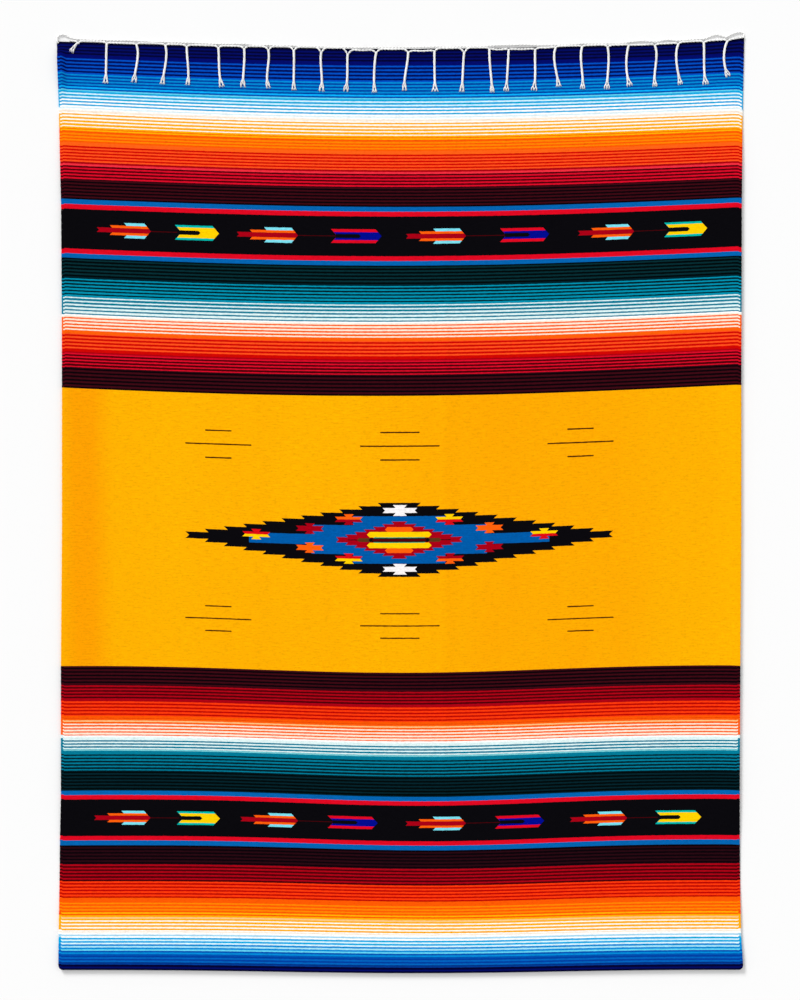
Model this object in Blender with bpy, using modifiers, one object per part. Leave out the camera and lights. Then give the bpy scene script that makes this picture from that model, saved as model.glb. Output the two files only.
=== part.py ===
"""A serape blanket laid flat with its front up.

Metres, +Z up, +Y towards the fringed end, +X to the right of someone who looks at the front.
The cloth is one woven web. Its lower end is turned under in a soft fold, and the knotted warp
ends of its upper end lie down over the front.
"""

import math

import bmesh
import bpy
import numpy as np
from mathutils import Vector

MM = 0.001

# The web
WALL = 2.4 * MM
FOLD_INNER_RADIUS = 1.6 * MM
TURNED_UNDER = 75 * MM
TURNED_SIDE_INSET = 4 * MM
FOLD_CORNER_RADIUS = 6 * MM
CLEAR_OF_TURNED_END = 0.8 * MM
TURNED_END_COVERED = 85 * MM
SLOPE_TO_FLOOR = 110 * MM
CORNER_PULL = 6.2 * MM
CORNER_PULL_ACROSS = 55 * MM
CORNER_PULL_ALONG = 70 * MM

# Each row is one woven line: its middle's distance from the top edge, how far its two ends lie
# above its middle, how narrow the sag in the middle is, and the reach of each side from the middle.
LINE_COLUMNS = ("run", "left_rise", "right_rise", "bell", "left", "right")
LINES_MM = (
    (0.0, 16.4, 18.1, 1.0, 761.0, 759.0),
    (154.4, 21.0, 19.9, 1.0, 757.0, 754.5),
    (361.5, 17.9, 20.8, 1.0, 752.0, 752.0),
    (605.3, 19.0, 24.3, 1.0, 750.5, 752.0),
    (767.7, 19.2, 25.2, 1.05, 750.0, 752.0),
    (1086.6, 21.2, 22.1, 1.6, 750.0, 752.0),
    (1381.3, 15.0, 16.6, 2.6, 752.0, 750.0),
    (1531.7, 11.1, 12.2, 2.4, 752.0, 749.0),
    (1664.7, 13.3, 15.0, 2.5, 752.0, 748.0),
    (1761.6, 10.6, 12.4, 2.3, 754.5, 748.0),
    (1963.2, 5.8, 8.2, 2.2, 757.0, 751.0),
    (2040.6, 6.6, 6.6, 1.5, 759.0, 759.0),
)
VISIBLE_RUN = LINES_MM[-1][0] * MM
FOLD_ARC = math.pi * FOLD_INNER_RADIUS

# Soft lengthwise folds: where each stands across the web, its height and its reach to a side at the
# top and at the bottom of the web. The first and last are the curled sides.
FOLD_COLUMNS = ("across", "height", "reach_top", "reach_bottom")
SOFT_FOLDS_MM = (
    (-752.0, 4.5, 44.0, 96.0),
    (-320.0, 0.8, 30.0, 30.0),
    (-90.0, 0.8, 34.0, 26.0),
    (98.0, 1.4, 20.0, 24.0),
    (752.0, 4.5, 56.0, 50.0),
)
FOLDS_START = 120 * MM
FOLDS_FADE = 200 * MM
FOLDS_END = VISIBLE_RUN - 200 * MM

# The mesh of the web
EVEN_COLUMNS = 26
VISIBLE_ROWS = 30
ARC_ROWS = 6
TURNED_ROWS = 3

# The knotted fringe
SEAM = 0.3 * MM
KNOT = Vector((6.4, 6.2, 4.2)) * MM
KNOT_PAST_EDGE = 4.6 * MM
ROOT_INSET = 0.3 * MM
STRANDS = 3
STRAND_WIDE = 1.6 * MM
STRAND_TALL = 2.0 * MM
STRAND_PITCH = 2.0 * MM
STRAND_SPREAD = 1.5 * MM
SPREAD_FROM = 0.7
STRAND_RINGS = (0.06, 0.2, 0.35, 0.53, 0.7, 0.86, 1.0)
TIP_TAPER = 0.75
LEG_WIDE = 4.2 * MM
LEG_TALL = 2.4 * MM
LEG_TAPER = 0.8
LEG_OFF_EDGE = 0.4 * MM + LEG_WIDE / 2
OFF_FLOOR = 0.5 * MM
LEG_GAP = 1.2 * MM
END_LEG = 15 * MM
LEG_RINGS = ((0.14, 0.2), (0.45, 0.9), (1.0, 1.0))

# Each row is one tassel: where it stands across the web, its length over the front, and how far it
# has swung aside at its upper third, at its lower third and at its tip.
TASSEL_COLUMNS = ("across", "drop", "upper", "lower", "tip")
TASSELS_MM = (
    (-713.5, 20.0, -6.0, -11.0, -15.0),
    (-650.5, 87.0, -1.0, -1.5, -2.5),
    (-584.5, 83.0, 2.5, -2.0, -5.5),
    (-520.5, 85.0, 1.5, -3.0, -7.0),
    (-473.5, 85.5, 1.5, 3.5, 2.0),
    (-403.5, 88.0, 1.0, 2.5, 7.0),
    (-346.5, 87.0, 0.0, -2.0, -3.5),
    (-293.0, 88.0, 0.0, -3.0, -0.5),
    (-237.0, 91.5, 0.5, 0.0, 0.0),
    (-176.5, 93.0, -0.5, 1.5, 0.5),
    (-118.0, 92.5, -0.5, -1.0, -4.0),
    (-55.0, 94.5, -3.5, -4.5, -3.5),
    (16.0, 90.5, -3.0, -7.5, -8.5),
    (74.0, 93.0, 0.0, 0.5, 1.0),
    (139.5, 94.0, -2.0, -3.5, -5.0),
    (195.5, 95.5, 1.0, 4.0, 6.0),
    (238.0, 94.0, -1.5, -3.5, -5.5),
    (296.5, 93.5, 0.0, 0.0, -2.5),
    (341.5, 86.0, -2.5, 2.5, 7.0),
    (400.0, 92.5, -2.0, 1.0, 1.5),
    (457.0, 94.5, 2.0, 0.0, -2.0),
    (503.0, 89.5, -4.5, -3.5, 2.5),
    (561.5, 92.5, 3.0, -0.5, 0.0),
    (612.5, 90.0, -4.0, -0.5, 5.0),
    (669.5, 93.0, 0.5, 1.0, 4.0),
    (721.0, 79.5, -6.5, -5.5, 2.0),
)
SWING_AT = (0.0, 0.35, 0.7, 1.0)

# The slack warp at the two upper corners
CORD_RADIUS = 1.25 * MM
BESIDE_LEG = LEG_OFF_EDGE + LEG_WIDE / 2 + CORD_RADIUS + 0.5 * MM
CORD_POINTS = 14
LOOP_ACROSS = -745 * MM
LOOP_REACH = Vector((14.0, 6.5)) * MM
LOOP_PAST_EDGE = 8.0 * MM
LOOP_STARTS = -0.30 * math.pi
LOOP_TURN = 1.68 * math.pi
BUNCH_ACROSS = (727.0 * MM, 757.0 * MM)
BUNCH_RISE = 7.5 * MM

COTTON = (0.88, 0.86, 0.80, 1.0)
WEB_YELLOW = (0.95, 0.44, 0.01, 1.0)


def smooth(t):
    """A soft step from 0 to 1 as t goes from 0 to 1."""
    t = min(max(t, 0.0), 1.0)
    return t * t * (3 - 2 * t)


def column(table, names, name):
    """One named column of a table, in metres unless it is a plain number."""
    values = np.array([row[names.index(name)] for row in table])
    return values if name == "bell" else values * MM


def rows_of(table, names):
    """The rows of a table with each of its columns in metres."""
    return list(zip(*(column(table, names, name) for name in names)))


def line_value(name, run):
    """A column of the woven lines read at a distance from the top edge."""
    runs = column(LINES_MM, LINE_COLUMNS, "run")
    return float(np.interp(run, runs, column(LINES_MM, LINE_COLUMNS, name)))


def across_at(u, run):
    """The place across the web of the point u, from 0 at the left side to 1 at the right."""
    return -line_value("left", run) * (1 - u) + line_value("right", run) * u


def height_at(u, run):
    """How far towards +Y a woven line lies at u, before the part is centred."""
    ends = line_value("left_rise", run) * (1 - u) + line_value("right_rise", run) * u
    sag = math.sin(math.pi * u) ** line_value("bell", run)
    from_right = (1 - u) * 2 * line_value("right", run)
    pull = CORNER_PULL * math.exp(-from_right / CORNER_PULL_ACROSS - run / CORNER_PULL_ALONG)
    return -run + ends * (1 - sag) + pull


def lift_at(across, run):
    """The underside's height over the floor where the web lies in soft folds."""
    fade = smooth((run - FOLDS_START) / FOLDS_FADE) * smooth((FOLDS_END - run) / FOLDS_FADE)
    down = run / VISIBLE_RUN
    lift = 0.0
    for place, height, reach_top, reach_bottom in rows_of(SOFT_FOLDS_MM, FOLD_COLUMNS):
        reach = reach_top + (reach_bottom - reach_top) * down
        lift += height * (1 - smooth(abs(across - place) / reach))
    return lift * fade


def rise_over_turned_end(from_fold):
    """The underside's height over the floor near the fold, where it lies on the turned-under end."""
    at_fold = WALL + 2 * FOLD_INNER_RADIUS
    at_end = WALL + CLEAR_OF_TURNED_END
    if from_fold < TURNED_END_COVERED:
        return at_fold + (at_end - at_fold) * smooth(from_fold / TURNED_END_COVERED)
    return at_end * (1 - smooth((from_fold - TURNED_END_COVERED) / SLOPE_TO_FLOOR))


def corner_inset(to_outermost):
    """How far a side is drawn in where the fold's corner is round."""
    left = FOLD_CORNER_RADIUS - min(to_outermost, FOLD_CORNER_RADIUS)
    return FOLD_CORNER_RADIUS - math.sqrt(FOLD_CORNER_RADIUS**2 - left**2)


def web_point(u, run):
    """A point of the web's inner side: the underside of the front, the inside of the fold, and the
    upper side of the turned-under end."""
    if run <= VISIBLE_RUN:
        across = across_at(u, run)
        up = rise_over_turned_end(VISIBLE_RUN - run) + lift_at(across, run)
        to_outermost = VISIBLE_RUN - run + FOLD_INNER_RADIUS + WALL
        inset = corner_inset(to_outermost)
        along = height_at(u, run)
    elif run <= VISIBLE_RUN + FOLD_ARC:
        turn = (run - VISIBLE_RUN) / FOLD_INNER_RADIUS
        across = across_at(u, VISIBLE_RUN)
        inset = corner_inset((FOLD_INNER_RADIUS + WALL) * (1 - math.sin(turn)))
        inset += TURNED_SIDE_INSET * turn / math.pi
        along = height_at(u, VISIBLE_RUN) - FOLD_INNER_RADIUS * math.sin(turn)
        up = WALL + FOLD_INNER_RADIUS * (1 + math.cos(turn))
    else:
        back = run - VISIBLE_RUN - FOLD_ARC
        across = across_at(u, VISIBLE_RUN - back)
        inset = TURNED_SIDE_INSET
        along = height_at(u, VISIBLE_RUN) + back
        up = WALL
    side = 2 * u - 1
    return Vector((across - side * inset, along, up))


def column_places():
    """Columns across the web: closer near the sides, with three more on each soft fold."""
    places = [0.5 - 0.5 * math.cos(math.pi * k / EVEN_COLUMNS) for k in range(EVEN_COLUMNS + 1)]
    width = across_at(1, FOLDS_START) - across_at(0, FOLDS_START)
    for place, _, reach, _ in rows_of(SOFT_FOLDS_MM, FOLD_COLUMNS)[1:-1]:
        middle = 0.5 + place / width
        half = reach / width
        places = [p for p in places if abs(p - middle) > 1.3 * half]
        places += [middle - half, middle, middle + half]
    return sorted(places)


def row_runs():
    """Rows along the web: the front, the fold's arc and the turned-under end."""
    front = [VISIBLE_RUN * math.sin(0.5 * math.pi * k / VISIBLE_ROWS) for k in range(VISIBLE_ROWS + 1)]
    arc = [VISIBLE_RUN + FOLD_ARC * k / ARC_ROWS for k in range(1, ARC_ROWS + 1)]
    turned = [arc[-1] + TURNED_UNDER * k / TURNED_ROWS for k in range(1, TURNED_ROWS + 1)]
    return front + arc + turned


def principled(name, colour, roughness):
    material = bpy.data.materials.new(name)
    material.use_nodes = True
    shader = material.node_tree.nodes["Principled BSDF"]
    shader.inputs["Base Color"].default_value = colour
    shader.inputs["Roughness"].default_value = roughness
    shader.inputs["Metallic"].default_value = 0.0
    return material


def add_mesh(name, bm, collection, parent, material):
    mesh = bpy.data.meshes.new(name)
    bm.to_mesh(mesh)
    bm.free()
    mesh.materials.append(material)
    obj = bpy.data.objects.new(name, mesh)
    obj.parent = parent
    collection.objects.link(obj)
    return obj


def woven_web(collection, parent, material):
    """One sheet shaped by its woven lines, given its wall outwards so that the underside stays flat."""
    places, runs = column_places(), row_runs()
    bm = bmesh.new()
    bmesh.ops.create_grid(bm, x_segments=len(places) - 1, y_segments=len(runs) - 1, size=1.0)
    for vert in bm.verts:
        across = round((vert.co.x + 1) / 2 * (len(places) - 1))
        along = round((1 - vert.co.y) / 2 * (len(runs) - 1))
        vert.co = web_point(places[across], runs[along])
    bmesh.ops.recalc_face_normals(bm, faces=bm.faces)
    if max(bm.faces, key=lambda face: face.calc_center_median().y).normal.z < 0:
        bmesh.ops.reverse_faces(bm, faces=bm.faces)
    web = add_mesh("woven_web", bm, collection, parent, material)
    web.data.shade_smooth()
    wall = web.modifiers.new("wall", "SOLIDIFY")
    wall.thickness = WALL
    wall.offset = 1.0
    wall.use_even_offset = True
    return web


def draw_out(bm, face, path, wide, tall, tapers):
    """Extrudes a root face along a path into a strand of four sides."""
    for centre, taper in zip(path, tapers):
        face = bmesh.ops.extrude_discrete_faces(bm, faces=[face])["faces"][0]
        middle = face.calc_center_median()
        reach = [max(abs(v.co[axis] - middle[axis]) for v in face.verts) for axis in range(3)]
        for vert in face.verts:
            offset = vert.co - middle
            across = 0 if reach[0] > reach[1] else 1
            offset[across] *= wide * taper / 2 / reach[across]
            offset.z *= tall * taper / 2 / reach[2]
            vert.co = centre + offset


def swing_at(part, upper, lower, tip):
    """How far a tassel has swung aside at a part of its length, on one smooth curve."""
    return float(np.polyval(np.polyfit(SWING_AT, (0.0, upper, lower, tip), 3), part))


def strand_path(start, index, drop, swings):
    """The centres of one strand's rings, from the knot to its loose end."""
    beside = index - (STRANDS - 1) / 2
    rest = WALL + SEAM + STRAND_TALL / 2
    for part in STRAND_RINGS:
        spread = STRAND_PITCH + STRAND_SPREAD * max(0.0, part - SPREAD_FROM) / (1 - SPREAD_FROM)
        x = start.x + swing_at(part, *swings) + beside * spread
        yield Vector((x, start.y - drop * part, rest))


def leg_path(start, side, reach):
    """The centres of one leg's rings, from the knot out and down to the web's upper edge."""
    low = OFF_FLOOR + LEG_TALL / 2
    high = WALL + SEAM + KNOT.z / 2
    for out, sunk in LEG_RINGS:
        x = start.x + side * (KNOT.x / 2 + (reach - KNOT.x / 2) * out)
        yield Vector((x, edge_height(x) + LEG_OFF_EDGE, high + (low - high) * sunk))


def edge_height(across):
    """The height of the web's upper edge at a place across it."""
    left, right = line_value("left", 0.0), line_value("right", 0.0)
    return height_at((across + left) / (left + right), 0.0)


def tassel(name, across, drop, swings, reaches, collection, parent, material):
    """A knot on the web's edge, with strands over the front and a leg along the edge to each side."""
    edge = edge_height(across)
    centre = Vector((across, edge + KNOT_PAST_EDGE - KNOT.y / 2, WALL + SEAM + KNOT.z / 2))
    bm = bmesh.new()
    bmesh.ops.create_cube(bm, size=1.0)
    bmesh.ops.scale(bm, vec=KNOT, verts=bm.verts)
    for k in range(1, STRANDS):
        cut = Vector((KNOT.x * (k / STRANDS - 0.5), 0, 0))
        everything = bm.verts[:] + bm.edges[:] + bm.faces[:]
        bmesh.ops.bisect_plane(bm, geom=everything, plane_co=cut, plane_no=(1, 0, 0))
    bmesh.ops.translate(bm, vec=centre, verts=bm.verts)
    bm.normal_update()
    roots = sorted((f for f in bm.faces if f.normal.y < -0.9), key=lambda f: f.calc_center_median().x)
    sides = sorted((f for f in bm.faces if abs(f.normal.x) > 0.9), key=lambda f: f.normal.x)
    bmesh.ops.inset_individual(bm, faces=roots + sides, thickness=ROOT_INSET)
    start = centre - Vector((0, KNOT.y / 2, 0))
    length = drop - (edge - start.y)
    even = (1.0,) * (len(STRAND_RINGS) - 1) + (TIP_TAPER,)
    for index, root in enumerate(roots):
        draw_out(bm, root, strand_path(start, index, length, swings), STRAND_WIDE, STRAND_TALL, even)
    for side, root, reach in zip((-1, 1), sides, reaches):
        draw_out(bm, root, leg_path(centre, side, reach), LEG_WIDE, LEG_TALL, (1.0, 1.0, LEG_TAPER))
    return add_mesh(name, bm, collection, parent, material)


def knotted_fringe(collection, parent, material):
    """All the tassels, whose legs meet half way between them."""
    places, drops, uppers, lowers, tips = [column(TASSELS_MM, TASSEL_COLUMNS, c) for c in TASSEL_COLUMNS]
    reaches = np.diff(places) / 2 - LEG_GAP / 2
    left = np.concatenate([[END_LEG], reaches])
    right = np.concatenate([reaches, [END_LEG]])
    for k, across in enumerate(places):
        swings = (uppers[k], lowers[k], tips[k])
        reach = (left[k], right[k])
        tassel(f"tassel_{k + 1:02d}", across, drops[k], swings, reach, collection, parent, material)


def loose_cord(name, points, collection, parent, material):
    """A thin round cord through points that lie on the floor."""
    curve = bpy.data.curves.new(name, "CURVE")
    curve.dimensions = "3D"
    curve.bevel_depth = CORD_RADIUS
    curve.bevel_resolution = 1
    curve.use_fill_caps = True
    spline = curve.splines.new("POLY")
    spline.points.add(len(points) - 1)
    for point, (x, y) in zip(spline.points, points):
        point.co = (x, y, OFF_FLOOR + CORD_RADIUS, 1.0)
    curve.materials.append(material)
    obj = bpy.data.objects.new(name, curve)
    obj.parent = parent
    collection.objects.link(obj)
    return obj


def corner_cords(collection, parent, material):
    """A loop of slack warp past the upper left corner, and a low arch of it past the upper right."""
    loop, arch = [], []
    for k in range(CORD_POINTS):
        part = k / (CORD_POINTS - 1)
        turn = LOOP_STARTS + LOOP_TURN * part
        x = LOOP_ACROSS + LOOP_REACH.x * math.cos(turn)
        loop.append((x, edge_height(LOOP_ACROSS) + LOOP_PAST_EDGE + LOOP_REACH.y * math.sin(turn)))
        x = BUNCH_ACROSS[0] + (BUNCH_ACROSS[1] - BUNCH_ACROSS[0]) * part
        arch.append((x, edge_height(x) + BESIDE_LEG + BUNCH_RISE * math.sin(math.pi * part) ** 0.6))
    loose_cord("corner_loop_left", loop, collection, parent, material)
    loose_cord("corner_bunch_right", arch, collection, parent, material)


def centre_on_origin(root, collection):
    """Moves the root so that the part's box is centred over the origin and its lowest point is at z = 0."""
    bpy.context.view_layer.update()
    graph = bpy.context.evaluated_depsgraph_get()
    points = []
    for obj in collection.objects:
        if obj.type == "EMPTY":
            continue
        evaluated = obj.evaluated_get(graph)
        points += [evaluated.matrix_world @ vert.co for vert in evaluated.to_mesh().vertices]
        evaluated.to_mesh_clear()
    low, high = np.min(points, axis=0), np.max(points, axis=0)
    root.location = (-(low[0] + high[0]) / 2, -(low[1] + high[1]) / 2, -low[2])
    bpy.context.view_layer.update()


def main():
    for obj in list(bpy.data.objects):
        bpy.data.objects.remove(obj)
    collection = bpy.data.collections.new("serape_blanket")
    bpy.context.scene.collection.children.link(collection)
    root = bpy.data.objects.new("serape_origin", None)
    collection.objects.link(root)
    yarn = principled("weft_faced_web", WEB_YELLOW, 0.9)
    cotton = principled("twisted_cotton", COTTON, 0.95)
    woven_web(collection, root, yarn)
    knotted_fringe(collection, root, cotton)
    corner_cords(collection, root, cotton)
    centre_on_origin(root, collection)


main()
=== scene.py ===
import functools
import math

import bmesh
import bpy
import numpy as np
from mathutils import Matrix, Vector, noise


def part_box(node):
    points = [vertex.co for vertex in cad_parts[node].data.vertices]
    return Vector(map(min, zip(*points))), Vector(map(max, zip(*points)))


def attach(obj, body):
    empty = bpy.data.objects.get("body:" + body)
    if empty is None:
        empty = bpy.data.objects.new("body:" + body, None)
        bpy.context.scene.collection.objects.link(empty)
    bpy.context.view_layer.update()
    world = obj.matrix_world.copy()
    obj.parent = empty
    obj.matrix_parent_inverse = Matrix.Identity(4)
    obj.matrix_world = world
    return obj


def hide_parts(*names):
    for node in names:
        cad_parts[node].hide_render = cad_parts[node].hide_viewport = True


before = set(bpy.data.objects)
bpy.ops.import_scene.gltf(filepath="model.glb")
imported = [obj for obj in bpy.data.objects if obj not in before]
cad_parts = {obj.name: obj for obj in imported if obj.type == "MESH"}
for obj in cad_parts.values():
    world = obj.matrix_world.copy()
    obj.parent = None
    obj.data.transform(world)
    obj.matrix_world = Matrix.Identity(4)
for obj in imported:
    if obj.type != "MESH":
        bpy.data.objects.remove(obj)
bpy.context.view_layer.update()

MM = 0.001

# The web's wall, its turned-under end and its upper right corner, sized as in the solids
WALL = 2.4 * MM
FOLD_INNER_RADIUS = 1.6 * MM
TURNED_UNDER = 75 * MM
TURNED_SIDE_INSET = 4 * MM
CLEAR_OF_TURNED_END = 0.8 * MM
TURNED_END_COVERED = 85 * MM
SLOPE_TO_FLOOR = 110 * MM
CORNER_PULL = 6.2 * MM
CORNER_PULL_ACROSS = 55 * MM
CORNER_PULL_ALONG = 70 * MM

# The fold's two corners: the length over which a side is drawn in there, and how far
FOLD_CORNER_LENGTH = 12 * MM
FOLD_CORNER_INSET = 6 * MM

# Each row is one woven line: its middle's distance from the top edge, its place in the weaver's chart
# above the diamond's middle, how far its two ends lie above its lowest point, how narrow the sag is
# and where across the web it is lowest, and the reach of each side from the middle.
LINE_COLUMNS = ("run", "chart", "left_rise", "right_rise", "bell", "low", "left", "right")
LINES_MM = (
    (0.0, 1078.6, 16.4, 18.1, 1.0, 0.5, 761.0, 759.0),
    (155.0, 928.8, 22.8, 20.5, 1.0, 0.5, 756.5, 755.5),
    (360.8, 720.7, 17.9, 20.8, 1.0, 0.5, 751.2, 753.0),
    (605.3, 474.6, 18.4, 24.3, 1.0, 0.46, 749.5, 752.5),
    (767.7, 314.4, 18.6, 25.2, 1.05, 0.46, 749.2, 752.0),
    (1086.6, 0.0, 21.2, 22.1, 1.6, 0.48, 749.2, 752.0),
    (1176.6, -90.0, 19.3, 20.4, 1.9, 0.5, 749.8, 751.4),
    (1379.6, -314.4, 15.0, 16.6, 2.6, 0.5, 751.5, 750.0),
    (1531.7, -473.7, 13.2, 14.2, 2.9, 0.52, 751.5, 749.0),
    (1664.7, -611.9, 14.3, 15.8, 3.3, 0.53, 751.5, 748.6),
    (1761.6, -720.7, 11.6, 14.0, 3.4, 0.54, 754.0, 749.0),
    (1963.2, -925.6, 6.4, 9.8, 3.5, 0.54, 756.5, 751.5),
    (2039.8, -1004.0, 7.0, 7.6, 2.6, 0.52, 757.2, 756.5),
)
VISIBLE_RUN = LINES_MM[-1][0] * MM
FOLD_ARC = math.pi * FOLD_INNER_RADIUS

# Soft lengthwise folds: where each stands across the web, its height and its reach to a side at the
# top and at the bottom of the web. The first and last are the curled sides.
SOFT_FOLDS_MM = (
    (-752.0, 4.5, 44.0, 96.0),
    (-320.0, 0.8, 30.0, 30.0),
    (-90.0, 0.8, 34.0, 26.0),
    (98.0, 1.4, 20.0, 24.0),
    (752.0, 4.5, 56.0, 50.0),
)
FOLDS_START = 120 * MM
FOLDS_FADE = 200 * MM
FOLDS_END = VISIBLE_RUN - 200 * MM

# Low form of the web: the weft's ribs, the round of its edges, and slow waves of the lying cloth, with
# how much of their height is even and how much comes from the long and from the short wave
RIB = 3.7 * MM
RIB_HEIGHT = 0.14 * MM
WALL_ROUND = 0.8 * MM
SHARP_EDGE = math.radians(60)
WAVE_HEIGHT = 0.5 * MM
WAVE_LENGTHS = (0.13, 0.07)
WAVE_SHARES = (0.5, 0.35, 0.15)

# The web's mesh: columns near a side, even ones between, those of a soft fold as shares of its reach
# with how far they keep off the even ones, and the rows of the arc and of the corners at the lower end
SELVEDGE_COLUMNS = tuple(place * MM for place in (2.2, 4.5, 6.0, 7.5, 10.0, 13.0, 16.0, 20.0))
EVEN_COLUMNS = 44
FOLD_COLUMNS = (-1.0, -0.6, -0.3, 0.0, 0.3, 0.6, 1.0)
FOLD_COLUMNS_FREE = 1.2
ARC_ROWS = 14
CORNER_ROWS = 6

# The selvedges: how far the weft's turns stand out, how far the stripes' ends bend and between which
# distances from the side, and how wide a darker yarn wraps round a pale one at the top and at the
# bottom. A yarn is pale when its linear red, green and blue add up to more than PALE_YARN.
SELVEDGE_TURN = 0.3 * MM
SELVEDGE_SHIFT = (1.7 * MM, 5 * MM, 7.5 * MM)
SELVEDGE_WRAP = (2.2 * MM, 5.2 * MM)
PALE_YARN = 1.3

# The strip at the upper left: how far it is drawn up and curled, between which distances from the side
# that fades out, and the distances from the top edge where it starts, is full, holds until and ends
LEFT_STEP = 3.4 * MM
LEFT_CURL = 7 * MM
LEFT_STEP_ACROSS = (7 * MM, 20 * MM)
LEFT_STEP_RUNS = (8 * MM, 45 * MM, 60 * MM, 150 * MM)

# The right side: how far its stripes' ends are drawn down before and after two distances from the top
# edge, how fast that fades inwards, and the length at both ends of the web over which it comes in
RIGHT_DROP = (4.0 * MM, 1.4 * MM)
RIGHT_DROP_RUNS = (180 * MM, 360 * MM)
RIGHT_DROP_ACROSS = 9 * MM
DRAWN_END_LAST = 40 * MM

# The cloth's surface, across the web and along it: beads of weft with their depth, how far their rows
# are pushed together and how close such places are, thick and thin places along the picks, and patches
# of uneven dye. Then the span of their noise, the shades that it turns to and how dark the painted shade
# between the beads is.
BEAD_MM = (3.2, 1.25)
BEAD_DEPTH = 0.45 * MM
BEAD_PUSH = 2.4
CROWDS_PER_MM = 0.16
SLUB_MM = (22.0, 2.2)
MOTTLE_MM = (6.0, 4.5)
DYE_SPAN = (0.7, 1.3)
DYE_RANGE = (0.945, 1.245)
# How dark the painted shade between the weft beads is
SEAM_PAINTED_SHADE = 0.2

# How rough spun yarn is, how much sheen the weft and the cotton have, and how strong their relief is
YARN_ROUGHNESS = 0.95
WEFT_SHEEN = 0.02
COTTON_SHEEN = 0.05
BEAD_RELIEF = 0.6
FIBRE_RELIEF = 0.5

# How unsteady the edges of stripes are: wobbles to the metre across and along the web, and their height
WOBBLES_PER_METRE = (120.0, 330.0)
WOBBLE = 1.4 * MM

# Where the yellow is deeper: in patches of this size across and along the web, with the noise's span,
# and beside two lines, each with its middle across the web, its reach and how deep it is there. The
# first is painted shade beside the curled left side; the second deepens a broad stretch right of the
# middle.
YELLOW_PATCH = (0.21, 0.9)
YELLOW_SPAN = (0.35, 0.65)
YELLOW_PATCH_DEEP = 0.25
# The first band is painted shade beside the curled left side
SHADE_AND_DEEP_YELLOW = ((-0.700, 0.075, 1.0), (0.300, 0.420, 0.5))

# Dyed yarn, as sRGB
YARN = {
    "ink": "020331",
    "navy": "020B5E",
    "deep navy": "010A66",
    # A near-black strip along the very top edge of the web
    "top edge near-black": "010112",
    "midnight": "000C56",
    "blue": "014BBE",
    "deep azure": "0050AC",
    "mid azure": "0286D0",
    "royal blue": "0160B8",
    "deep cobalt": "003080",
    "cobalt": "003C9B",
    "azure": "09ACF5",
    "cyan": "62CEEC",
    "light cyan": "A4E0F2",
    "pale cyan": "D4F0F8",
    "light sky": "A0D2EC",
    "sky": "08A4DE",
    "pale blue": "D4EBF4",
    "white": "FCFCFA",
    "ivory": "FDF6EA",
    "cream": "FCE6D2",
    "peach": "F8E6D2",
    "apricot": "FCC382",
    "amber": "FC8202",
    "gold": "FDAA05",
    "deep orange": "F75602",
    "tangerine": "FC5F14",
    "flame": "FC4F1A",
    "deep flame": "F8380A",
    "red": "CB0502",
    "deep red": "B60301",
    "dark red": "A5010E",
    "rose": "EE2D3D",
    "maroon": "4A0006",
    "crimson": "D60B27",
    "deep crimson": "A80315",
    "black": "080207",
    "brown": "3B0812",
    "dark brown": "260710",
    "border blue": "0361AC",
    "border red": "DB0720",
    "pattern black": "08070B",
    "spruce": "042C32",
    "dark spruce": "03222A",
    "spruce black": "000708",
    "teal": "018DAB",
    "deep teal": "001F28",
    "lake": "017894",
    "pale teal": "DCF0F0",
    "light teal": "78CCD4",
    "orange": "FA5E08",
    "field yellow": "FBAF01",
    # Deep yellow also colours the painted shade beside the curled left side
    "deep yellow": "FA9E01",
    "diamond blue": "0058A4",
    "diamond red": "A50014",
    "bright red": "D70A14",
    "bright orange": "FD5F0A",
    "bright gold": "FFCD00",
    "bone": "F5F0F0",
    "dash brown": "461E05",
    "turquoise": "78DCEB",
    "green teal": "00B4AA",
    "arrow blue": "000A8C",
    "umber": "5A3414",
    "wine": "500008",
    "sea green": "1E9678",
}

# The weaver's plan, from the diamond's middle outwards. Each row is a length of web, the pairs of
# stripes in it, their two yarns and the second yarn's share of a pair at the start and at the end,
# or no pairs and one yarn. Above and below, the fades go through the same colours in other steps.
FIELD_HALF = 314.4 * MM
UPPER_INNER_FADE_MM = (
    (46.3, 5.8, "black", "brown", 0.5, 0.5),
    (27.3, 4, "crimson", "maroon", 0.66, 0.48),
    (3.3, 0, "crimson"),
    (3.0, 0, "dark red"),
    (2.5, 0, "red"),
    (36.9, 4.75, "red", "flame", 0.42, 0.48),
    (3.7, 0.5, "orange", "apricot", 0.4, 0.4),
    (32.8, 4.5, "orange", "cream", 0.38, 0.6),
    (2.2, 0, "peach"),
    (3.8, 0, "white"),
    (38.9, 5.1, "lake", "pale teal", 0.66, 0.3),
    (45.1, 6, "teal", "deep teal", 0.38, 0.62),
    (41.1, 5.4, "spruce black", "spruce", 0.5, 0.42),
)
LOWER_INNER_FADE_MM = (
    (44.4, 5.65, "brown", "black", 0.5, 0.5),
    (32.8, 4.45, "deep crimson", "maroon", 0.5, 0.52),
    (3.7, 0, "dark red"),
    (33.2, 4.3, "deep flame", "deep red", 0.5, 0.42),
    (6.2, 0.8, "deep orange", "red", 0.3, 0.3),
    (7.3, 1, "orange", "apricot", 0.4, 0.4),
    (31.5, 4.3, "orange", "cream", 0.36, 0.64),
    (7.2, 1, "white", "pale teal", 0.4, 0.5),
    (25.1, 3.5, "pale teal", "lake", 0.46, 0.6),
    (7.2, 1, "light teal", "lake", 0.6, 0.6),
    (44.0, 5.7, "lake", "deep teal", 0.4, 0.66),
    (43.3, 5.8, "spruce black", "dark spruce", 0.5, 0.4),
)
BAND_MM = (
    (10.3, 0, "border blue"),
    (10.4, 0, "border red"),
    (88.6, 0, "pattern black"),
    (10.4, 0, "border red"),
    (10.8, 0, "border blue"),
)
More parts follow.
